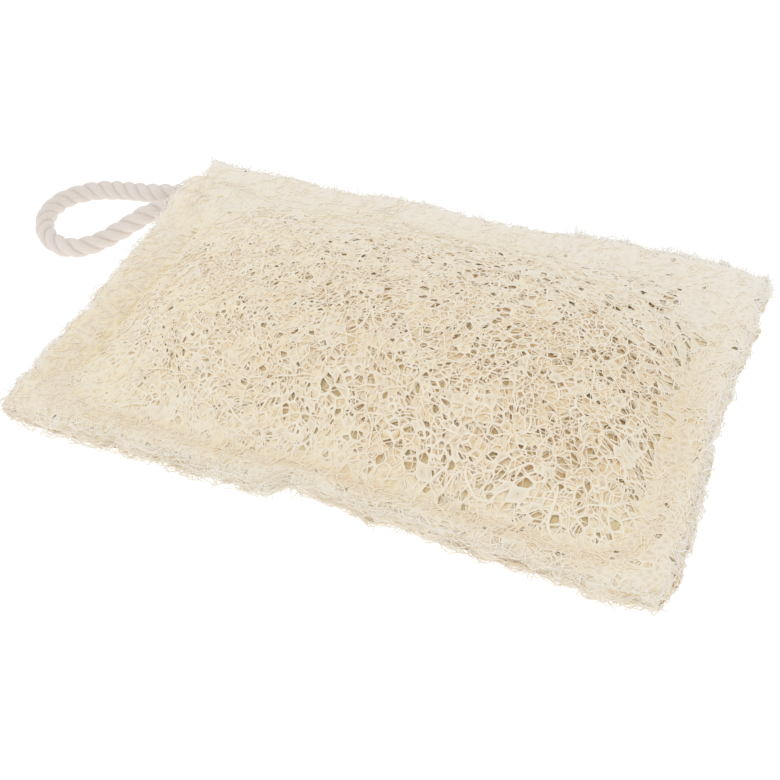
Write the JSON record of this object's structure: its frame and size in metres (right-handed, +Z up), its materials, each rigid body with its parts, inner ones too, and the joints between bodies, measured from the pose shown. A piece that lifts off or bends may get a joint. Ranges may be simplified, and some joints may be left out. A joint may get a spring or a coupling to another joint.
{
  "type": "loofah sponge pad",
  "caption": "Flat bath pad of natural loofah: two netted fibre sheets sewn together round a frayed flange, raised like a pillow, with a twisted cotton hanging loop at one corner.",
  "frame": {"origin": "on the surface that the pad lies on, below the middle of the pad without its rope", "axes": "+X along the pad's long side, away from the rope's end; +Y across the pad, towards the side that the rope is near; +Z up, towards the raised upper sheet"},
  "size_m": [0.1929, 0.111, 0.0278],
  "materials": {
    "loofah_fibre": "dry, matt plant fibre, cream with tan in the depths",
    "seam_thread": "unbleached cotton sewing thread, matt",
    "cotton_rope": "soft unbleached cotton, matt, slightly fuzzy"
  },
  "bodies": {
    "root": {"loofah_upper_sheet": "loofah_fibre", "loofah_lower_sheet": "loofah_fibre", "needle_thread": "seam_thread", "bobbin_thread": "seam_thread", "hanging_rope": "cotton_rope"}
  },
  "joints": []
}
